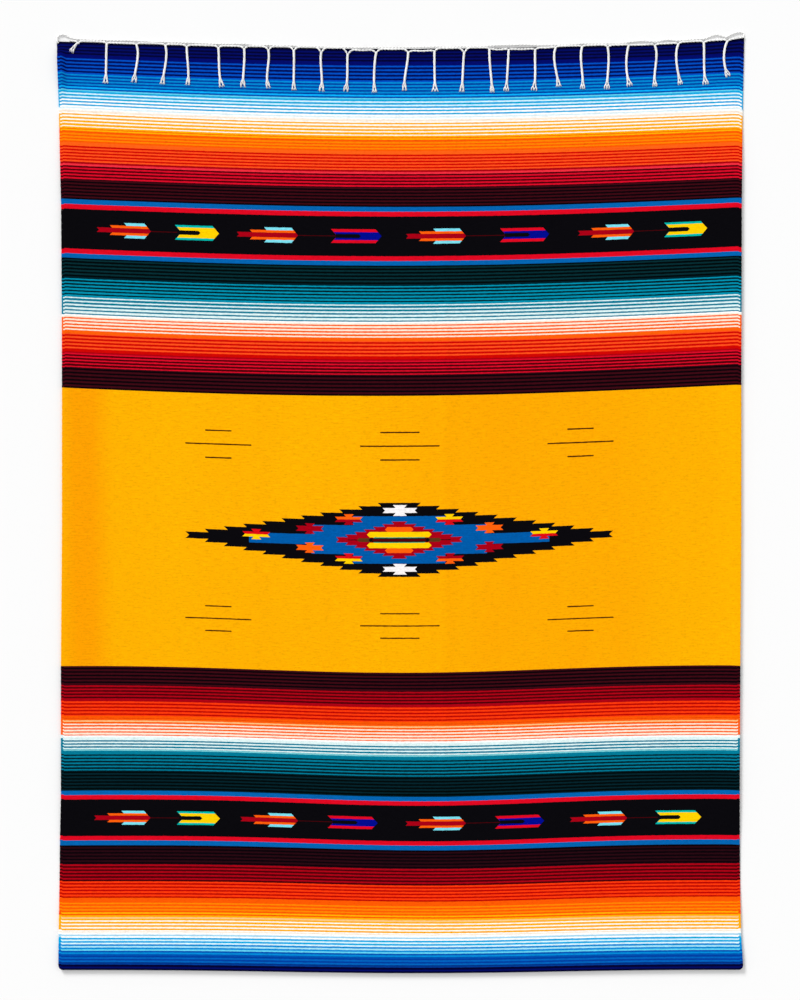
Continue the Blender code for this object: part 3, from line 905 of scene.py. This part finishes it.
def weft_finish(tree, add, chart, colour):
    """Dyed weft beaten down over hidden warp: dull, a little fuzzy, with beads of yarn in staggered
    rows, painted shade between the beads, thick and thin places along each pick, and dye that took
    unevenly."""
    in_mm = add("Mapping", chart, named={"Scale": (1000.0, 1000.0, 1000.0)})
    beads = weft_beads(add, in_mm)
    slubs = unevenness(add, in_mm, (1 / SLUB_MM[0], 1 / SLUB_MM[1]))
    mottle = unevenness(add, in_mm, (1 / MOTTLE_MM[0], 1 / MOTTLE_MM[1]), detail=4.0, roughness=0.6)
    shade = add("MapRange", add("Math", slubs, mottle, operation="ADD"), *DYE_SPAN, *DYE_RANGE)
    # Painted shade: the colour is darkened between the beads, where their relief dips
    painted_seam_shade = add("Math", beads, SEAM_PAINTED_SHADE, -SEAM_PAINTED_SHADE, operation="MULTIPLY_ADD")
    shade = add("Math", painted_seam_shade, shade, operation="ADD")
    grey = add("CombineColor", shade, shade, shade)
    colour = add("Mix", 1.0, colour, grey, data_type="RGBA", blend_type="MULTIPLY")
    height = add("Math", slubs, beads, operation="ADD")
    normal = add("Bump", named={"Strength": BEAD_RELIEF, "Distance": BEAD_DEPTH, "Height": height})
    finish_yarn(tree, colour, normal, WEFT_SHEEN)


def new_material(name):
    """A new material, its node tree and the function that adds nodes to it."""
    material = bpy.data.materials.new(name)
    material.use_nodes = True
    return material, material.node_tree, functools.partial(node, material.node_tree)


def field_weft():
    """The yellow middle of the web, with the diamond and the dashes woven in."""
    material, tree, add = new_material("weft_faced_field")
    chart, across, up, out = chart_places(add)
    patches = unevenness(add, chart, (1 / YELLOW_PATCH[0], 1 / YELLOW_PATCH[1]))
    deep = add("MapRange", patches, *YELLOW_SPAN, YELLOW_PATCH_DEEP, 0.0)
    # Painted shade beside the curled left side, and a broad deeper yellow right of the middle
    for middle, reach, strength in SHADE_AND_DEEP_YELLOW:
        off = apart(add, across, middle)
        near = add("MapRange", off, 0.0, reach, strength, 0.0, interpolation_type="SMOOTHSTEP")
        deep = add("Math", deep, near, operation="ADD", use_clamp=True)
    yellow = add("Mix", deep, yarn("field yellow"), yarn("deep yellow"), data_type="RGBA")
    colour = lay_dashes(add, yellow, across, up)
    weft_finish(tree, add, chart, lay_diamond(add, colour, across, up))
    return material


def band_weft():
    """The black bands with their red and blue borders and a row of arrows."""
    material, tree, add = new_material("weft_faced_band")
    chart, across, up, out = chart_places(add)
    colour = lay_stripes(add, yarn("border blue"), out, BAND_START, BAND_MM)
    weft_finish(tree, add, chart, lay_arrows(add, colour, across, up, out))
    return material


def fade_weft():
    """The fades on both sides of each band, where stripes of two yarns take turns."""
    material, tree, add = new_material("weft_faced_fades")
    chart, _, up, _ = chart_places(add)
    down = add("Math", up, -1.0, operation="MULTIPLY")
    from_side = add("SeparateXYZ", add("UVMap", uv_map="selvedge"))
    at_side = add("Math", from_side, 1.0, operation="LESS_THAN")
    colour = yarn("black")
    for out, start, rows in (
        (up, FIELD_HALF, UPPER_INNER_FADE_MM),
        (down, FIELD_HALF, LOWER_INNER_FADE_MM),
        (up, BAND_END, UPPER_OUTER_FADE_MM),
        (down, BAND_END, LOWER_OUTER_FADE_MM),
    ):
        colour = lay_stripes(add, colour, out, start, rows, at_side)
    weft_finish(tree, add, chart, colour)
    return material


def column_places():
    """Columns across the web: even ones, and more near the sides and on each soft fold."""
    width = across_at(1, FOLDS_START) - across_at(0, FOLDS_START)
    near = [0.0] + [place / width for place in SELVEDGE_COLUMNS]
    places = [near[-1] + (1 - 2 * near[-1]) * k / EVEN_COLUMNS for k in range(1, EVEN_COLUMNS)]
    for place, _, reach, _ in SOFT_FOLDS_MM[1:-1]:
        middle, half = 0.5 + place * MM / width, reach * MM / width
        places = [p for p in places if abs(p - middle) > FOLD_COLUMNS_FREE * half]
        places += [middle + half * part for part in FOLD_COLUMNS]
    return sorted(near + places + [1 - p for p in near])


def row_charts():
    """Rows in the weaver's chart, one at each rib and one at each change of ground."""
    stops = [LINES_MM[0][1] * MM, BAND_END, BAND_START, FIELD_HALF]
    stops += [-FIELD_HALF, -BAND_START, -BAND_END, LINES_MM[-1][1] * MM]
    charts = [stops[0]]
    for start, end in zip(stops, stops[1:]):
        ribs = round((start - end) / RIB)
        charts += [start + (end - start) * k / ribs for k in range(1, ribs + 1)]
    return charts


def row_runs():
    """The rows' distances from the top edge, with those of the fold and of the turned-under end."""
    front = [run_at(chart) for chart in row_charts()]
    last = VISIBLE_RUN - FOLD_CORNER_LENGTH
    front = [run for run in front if run < last - RIB / 2]
    front += [last + FOLD_CORNER_LENGTH * k / CORNER_ROWS for k in range(CORNER_ROWS + 1)]
    arc = [VISIBLE_RUN + FOLD_ARC * k / ARC_ROWS for k in range(1, ARC_ROWS + 1)]
    turned_rows = round(TURNED_UNDER / RIB)
    return front + arc + [arc[-1] + TURNED_UNDER * k / turned_rows for k in range(1, turned_rows + 1)]


def chart_at(run):
    """The place in the weaver's chart at a distance from the top edge, past the fold too."""
    return line_value("chart", run) - max(0.0, run - VISIBLE_RUN)


def put_in_scene(name, data):
    """A new object in the scene, made of its data."""
    obj = bpy.data.objects.new(name, data)
    bpy.context.scene.collection.objects.link(obj)
    return obj


def add_piece(name, bm, materials):
    """Moves a finished bmesh to the frame and makes it a piece of the blanket."""
    mesh = bpy.data.meshes.new(name)
    bm.to_mesh(mesh)
    bm.free()
    for material in materials:
        mesh.materials.append(material)
    mesh.transform(TO_FRAME)
    mesh.shade_smooth()
    obj = put_in_scene(name, mesh)
    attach(obj, "root")
    return obj


def side_places(u, run):
    """How far the stripes' ends are bent at a point, and its distance from the side as a share of the
    width of the darker yarn's turns."""
    shift, near, far = SELVEDGE_SHIFT
    from_side = min(u, 1 - u) * 2 * line_value("left", run)
    bent = shift * (1 - smooth((from_side - near) / (far - near)))
    bent *= max(-1.0, min(1.0, chart_at(run) / FIELD_HALF))
    top, bottom = SELVEDGE_WRAP
    return bent, from_side / (top + (bottom - top) * min(1.0, run / VISIBLE_RUN))


def serape_web():
    """The web as one sheet shaped by its woven lines, then given its wall and round edges."""
    places, runs = column_places(), row_runs()
    bm = bmesh.new()
    bmesh.ops.create_grid(bm, x_segments=len(places) - 1, y_segments=len(runs) - 1, size=1.0)
    chart = bm.loops.layers.uv.new("chart")
    selvedge = bm.loops.layers.uv.new("selvedge")
    spots, side_spots = {}, {}
    for vert in bm.verts:
        column = round((vert.co.x + 1) / 2 * (len(places) - 1))
        row = round((1 - vert.co.y) / 2 * (len(runs) - 1))
        u, run = places[column], runs[row]
        bent, from_side = side_places(u, run)
        spots[vert.index] = (across_at(u, min(run, VISIBLE_RUN)), chart_at(run) + bent)
        side_spots[vert.index] = (from_side, run)
        vert.co = web_point(u, run)
        if run < VISIBLE_RUN - FOLD_CORNER_LENGTH:
            vert.co.z += RIB_HEIGHT * (row % 2)
        if column in (0, len(places) - 1) and run < VISIBLE_RUN - 2 * FOLD_CORNER_LENGTH:
            vert.co.x += SELVEDGE_TURN * ((row // 2) % 2) * (1 if column else -1)
    for face in bm.faces:
        for loop in face.loops:
            loop[chart].uv = spots[loop.vert.index]
            loop[selvedge].uv = side_spots[loop.vert.index]
        out = abs(sum(loop[chart].uv.y for loop in face.loops) / 4)
        face.material_index = 0 if out < FIELD_HALF else 1 if BAND_START < out < BAND_END else 2
    bmesh.ops.recalc_face_normals(bm, faces=bm.faces)
    if max(bm.faces, key=lambda face: face.calc_center_median().y).normal.z < 0:
        bmesh.ops.reverse_faces(bm, faces=bm.faces)
    web = add_piece("serape_web", bm, [field_weft(), band_weft(), fade_weft()])
    wall = web.modifiers.new("wall", "SOLIDIFY")
    wall.thickness = WALL
    wall.offset = 1.0
    wall.use_even_offset = True
    edges = web.modifiers.new("edges", "BEVEL")
    edges.width = WALL_ROUND
    edges.segments = 2
    edges.limit_method = "ANGLE"
    edges.angle_limit = SHARP_EDGE
    edges.use_clamp_overlap = True
    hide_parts("woven_web")
    return web


def cotton():
    """Undyed cotton warp, several plies twisted: matt, nearly white, with fine fibres along each
    ply, painted shade in the grooves between plies, and a little grey where handling has soiled it."""
    material, tree, add = new_material("twisted_cotton_warp")
    spot = add("UVMap", uv_map="strand")
    place = add("SeparateXYZ", spot)
    around, passed = place.node.outputs["X"], place.node.outputs["Y"]
    twist = add("Math", passed, -1 / PLY_PITCH, operation="MULTIPLY")
    plies = add("Math", around, float(PLIES), twist, operation="MULTIPLY_ADD")
    # Painted shade: the ply grooves are darkened and the ply ridges lightened in the colour
    painted_ply_shade = add("Math", add("Math", plies, 2 * math.pi, operation="MULTIPLY"), operation="COSINE")
    fibres = unevenness(add, spot, FIBRES)
    place = add("TexCoord").node.outputs["Object"]
    soil = add("TexNoise", named={"Vector": place, "Scale": SOIL_PER_METRE, "Detail": 2.0})
    uneven = add("Math", fibres, soil, operation="ADD")
    uneven = add("Math", painted_ply_shade, PAINTED_PLY_SHADE, uneven, operation="MULTIPLY_ADD")
    shade = add("MapRange", uneven, *COTTON_SPAN, 0.0, 1.0)
    colour = add("Mix", shade, linear(SOILED_AND_SHADED_COTTON), linear(CLEAN_COTTON), data_type="RGBA")
    normal = add("Bump", named={"Strength": FIBRE_RELIEF, "Distance": FIBRE_DEPTH, "Height": fibres})
    finish_yarn(tree, colour, normal, COTTON_SHEEN)
    return material


def smooth_route(points, spacing=RING_SPACING):
    """Evenly spaced points on a smooth curve through a route's own points."""
    points = [np.array(point, float) for point in points]
    padded = [2 * points[0] - points[1]] + points + [2 * points[-1] - points[-2]]
    fine = []
    for a, b, c, d in zip(padded, padded[1:], padded[2:], padded[3:]):
        for t in np.linspace(0.0, 1.0, STEPS_A_STRETCH, endpoint=False):
            bend = (2 * a - 5 * b + 4 * c - d) * t * t + (3 * b - a - 3 * c + d) * t**3
            fine.append(0.5 * (2 * b + (c - a) * t + bend))
    fine = np.array(fine + [points[-1]])
    passed = np.concatenate([[0.0], np.cumsum(np.linalg.norm(np.diff(fine, axis=0), axis=1))])
    even = np.linspace(0.0, passed[-1], max(3, round(passed[-1] / spacing) + 1))
    return np.column_stack([np.interp(even, passed, fine[:, axis]) for axis in range(3)])


def beside_route(route):
    """The directions to the side of a route and up from it, and the length passed at each point."""
    along = np.gradient(route, axis=0)
    along /= np.linalg.norm(along, axis=1)[:, None]
    side = np.cross(along, (0.0, 0.0, 1.0))
    side /= np.linalg.norm(side, axis=1)[:, None]
    passed = np.concatenate([[0.0], np.cumsum(np.linalg.norm(np.diff(route, axis=0), axis=1))])
    return side, np.cross(side, along), passed


def lay_strand(bm, spot, route, radius, sides=STRAND_SIDES, taper=2.5 * MM):
    """One strand of twisted plies along a route of even points, drawn to a point at its end."""
    side, up, passed = beside_route(route)
    rings = len(route) - 1
    grid = bmesh.ops.create_grid(bm, x_segments=sides, y_segments=rings, size=1.0)
    places = {}
    for vert in grid["verts"]:
        around = round((vert.co.x + 1) / 2 * sides)
        ring = round((vert.co.y + 1) / 2 * rings)
        places[vert] = (around, ring)
        turn = 2 * math.pi * around / sides
        ply = 1 + PLY_BULGE * math.cos(PLIES * (turn - 2 * math.pi * passed[ring] / (PLIES * PLY_PITCH)))
        end = min(1.0, STRAND_END + (1 - STRAND_END) * (passed[-1] - passed[ring]) / taper)
        reach = radius * ply * end
        spread = side[ring] * math.cos(turn) + up[ring] * math.sin(turn)
        vert.co = Vector(route[ring] + reach * spread)
    at = {place: vert for vert, place in places.items()}
    for face in {face for vert in grid["verts"] for face in vert.link_faces}:
        for loop in face.loops:
            around, ring = places[loop.vert]
            loop[spot].uv = (around / sides, passed[ring])
    seam = {at[(sides, ring)]: at[(0, ring)] for ring in range(rings + 1)}
    ends = [at[(around, ring)] for around in range(sides) for ring in (0, rings)]
    bmesh.ops.weld_verts(bm, targetmap=seam)
    rims = [edge for vert in ends for edge in vert.link_edges if edge.is_boundary]
    bmesh.ops.holes_fill(bm, edges=list(set(rims)), sides=sides)


def on_web_or_floor(off_edge, radius, comes_down=LEG_COMES_DOWN):
    """The height of a cord's middle: on the cloth, or on the floor past the cloth's edge."""
    start, end = comes_down
    down = smooth((off_edge - start) / (end - start))
    return radius + WALL * (1 - down) + CORD_CLEAR


def tassel_route(row, side, beside):
    """The middle line of one leg and its tassel, from half way to the next tassel to the tip."""
    across, drop, upper, lower, tip, meets = (value * MM for value in row)
    middle, off_edge = beside
    edge = edge_height(across)
    thick = STRAND + LEG_LAY
    start = Vector((across, edge - meets, WALL + thick + TURN_CLEAR))
    points = []
    reach = abs(middle - across)
    for part in LEG_PARTS:
        x = across + side * (LEG_TURNS_AT + (reach - LEG_TURNS_AT) * part)
        points.append((x, edge_height(x) + off_edge, on_web_or_floor(off_edge, thick)))
    x = across + side * LEG_TURNS_AT
    off_edge *= LEG_NEARS_EDGE
    points.append((x, edge_height(x) + off_edge, on_web_or_floor(off_edge, thick)))
    x = across + side * LEG_TURNS_AT * LEG_LIES_DOWN
    half_way = beside[1] * (1 - LEG_LIES_DOWN) - meets * LEG_LIES_DOWN
    points.append((x, edge + half_way, WALL + thick + TURN_CLEAR / 2))
    points.append((start.x + side * TURN_ASIDE, start.y - TURN_DOWN, start.z))
    turn = len(points) - 1
    length = drop - meets
    swing = np.polyfit(SWING_AT, (0.0, upper, lower, tip), 3)
    for part in BODY_PARTS:
        x = start.x + float(np.polyval(swing, part))
        points.append((x, start.y - length * part, WALL + STRAND + BODY_LAY * 0.75))
    return smooth_route(points), points[turn]


def lay_tassel(bm, spot, row, beside, draw):
    """Two strands from each side that turn down over the front and twist loosely round each other.
    Draw is the share by which the tips open."""
    for side, neighbour in zip((-1, 1), beside):
        route, turn_point = tassel_route(row, side, neighbour)
        out, up, passed = beside_route(route)
        turn_at = passed[np.argmin(np.linalg.norm(route - np.array(turn_point), axis=1))]
        for pair in (-1, 1):
            lines = []
            for k, point in enumerate(route):
                from_turn = passed[k] - turn_at
                in_body = smooth(from_turn / LEG_TO_BODY + 0.5)
                opened = smooth((from_turn - (passed[-1] - turn_at - TIP_OPENS)) / TIP_OPENS)
                leg_phase = math.pi / 2 + pair * math.pi / 2 - 2 * math.pi * min(from_turn, 0.0) / LEG_TWIST
                home = 0.0 if side < 0 else math.pi
                body_phase = home + pair * math.pi / 4 + 2 * math.pi * max(from_turn, 0.0) / BODY_TWIST
                leg = LEG_LAY * (1 - in_body) * np.array((math.cos(leg_phase), math.sin(leg_phase)))
                lay_out = BODY_LAY + (TIP_LAY - BODY_LAY) * opened * draw
                body = in_body * np.array((lay_out * math.cos(body_phase), BODY_LAY * math.sin(body_phase)))
                body[1] *= 1 - TIP_FLAT * opened
                offset = leg + body
                lines.append(point + out[k] * offset[0] + up[k] * offset[1])
            line = np.array(lines)
            line[:, 2] = np.maximum(line[:, 2], STRAND + 0.1 * MM)
            lay_strand(bm, spot, line, STRAND)
            fray(bm, spot, line)


def fray(bm, spot, line):
    """Loose fibres that stand out of a strand's cut end."""
    tip = line[-4]
    ahead = line[-1] - line[-4]
    ahead /= np.linalg.norm(ahead)
    beside = np.array((ahead[1], -ahead[0], 0.0))
    for k in range(HAIRS):
        fan = (k / (HAIRS - 1) - 0.5) * HAIR_FAN
        phase = HAIR_PHASES[0] * k + HAIR_PHASES[1] * tip[0]
        far = HAIR_LENGTH * (1 - HAIR_UNEVEN + HAIR_UNEVEN * math.sin(phase))
        points = [tip + beside * STRAND * fan]
        for part in (0.4, 0.7, 1.0):
            point = tip + ahead * far * part + beside * (STRAND * fan + far * fan * HAIR_BEND * part**2)
            point[2] = max(WALL + HAIR * 2, point[2] - far * HAIR_DROOP * part)
            points.append(point)
        lay_strand(bm, spot, np.array(points), HAIR, sides=4, taper=2 * MM)


def finish_cords(name, bm, material, *replaced):
    """Turns the strands' faces out and makes them one piece, in place of the solids that it replaces."""
    bmesh.ops.recalc_face_normals(bm, faces=bm.faces)
    piece = add_piece(name, bm, [material])
    if replaced:
        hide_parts(*replaced)
    return piece


def knotted_fringe(material):
    """All the tassels. Their legs meet half way between them, so the cord along the edge runs on."""
    places = [row[0] * MM for row in TASSELS_MM]
    middles = [places[0] - END_LEG] + [(a + b) / 2 for a, b in zip(places, places[1:])]
    middles.append(places[-1] + END_LEG)
    pieces = []
    for k, row in enumerate(TASSELS_MM):
        bm = bmesh.new()
        spot = bm.loops.layers.uv.new("strand")
        beside = [(middles[j], LEGS_OFF_EDGE_MM[j] * MM) for j in (k, k + 1)]
        draw = TIP_DRAW + (1 - TIP_DRAW) * math.sin(TIP_PHASE * k) ** 2
        lay_tassel(bm, spot, row, beside, draw)
        pieces.append(finish_cords(f"fringe_tassel_{k + 1:02d}", bm, material, f"tassel_{k + 1:02d}"))
    return pieces


def edge_cord(material):
    """The slack two-strand cord along the edge, with its loops at both corners."""
    points = []
    for across, off_edge in EDGE_CORD_MM:
        x, off = across * MM, off_edge * MM
        height = on_web_or_floor(off, THIN_STRAND * CORD_HALF, CORD_COMES_DOWN)
        points.append((x, edge_height(x) + off, height))
    route = smooth_route(points)
    out, up, passed = beside_route(route)
    bm = bmesh.new()
    spot = bm.loops.layers.uv.new("strand")
    for start in (0.0, math.pi):
        phase = start + 2 * math.pi * passed / LEG_TWIST
        line = route + CORD_LAY * (out * np.cos(phase)[:, None] + up * np.sin(phase)[:, None])
        line[:, 2] = np.maximum(line[:, 2], THIN_STRAND + 0.1 * MM)
        lay_strand(bm, spot, line, THIN_STRAND)
    return finish_cords("edge_cord", bm, material, "corner_loop_left", "corner_bunch_right")


def floor_and_light():
    """A pale floor, a broad soft key from the upper left, low enough to show the ribs, and a sky."""
    bm = bmesh.new()
    bmesh.ops.create_grid(bm, x_segments=1, y_segments=1, size=FLOOR_REACH)
    mesh = bpy.data.meshes.new("floor")
    bm.to_mesh(mesh)
    bm.free()
    material, tree, _ = new_material("matt_white_paper")
    shader = tree.nodes["Principled BSDF"]
    shader.inputs["Base Color"].default_value = linear("EEEEEE")
    shader.inputs["Roughness"].default_value = 1.0
    shader.inputs["Specular IOR Level"].default_value = 0.0
    mesh.materials.append(material)
    put_in_scene("floor", mesh)

    lamp = bpy.data.lights.new("key", "SUN")
    lamp.angle = KEY_WIDE
    lamp.energy = KEY_STRENGTH
    key = put_in_scene("key", lamp)
    key.location = KEY_PLACE
    key.rotation_euler = Vector(KEY_PLACE).to_track_quat("Z", "Y").to_euler()

    world = bpy.data.worlds.new("studio")
    world.use_nodes = True
    sky = world.node_tree.nodes["Background"]
    sky.inputs["Color"].default_value = linear("FFFFFF")
    sky.inputs["Strength"].default_value = SKY_STRENGTH
    bpy.context.scene.world = world
    bpy.context.scene.view_settings.view_transform = "Standard"
    bpy.context.scene.view_settings.look = "None"


def camera():
    """Straight above, so that the frame of the photograph fits the web as it lies."""
    data = bpy.data.cameras.new("camera")
    data.lens = LENS
    data.sensor_width = SENSOR
    data.clip_end = 50
    obj = put_in_scene("camera", data)
    obj.location = (VIEW_MIDDLE[0], VIEW_MIDDLE[1], VIEW_HEIGHT * LENS / SENSOR)
    bpy.context.scene.camera = obj


# From the web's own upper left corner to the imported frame
web_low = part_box("woven_web")[0]
to_upper_edge = SOLID_RUN + FOLD_INNER_RADIUS + WALL
TO_FRAME = Matrix.Translation((web_low[0] + SOLID_LEFT, web_low[1] + to_upper_edge, 0.0))

camera()
floor_and_light()
web = serape_web()
warp_cotton = cotton()
fringe = knotted_fringe(warp_cotton)
cord = edge_cord(warp_cotton)
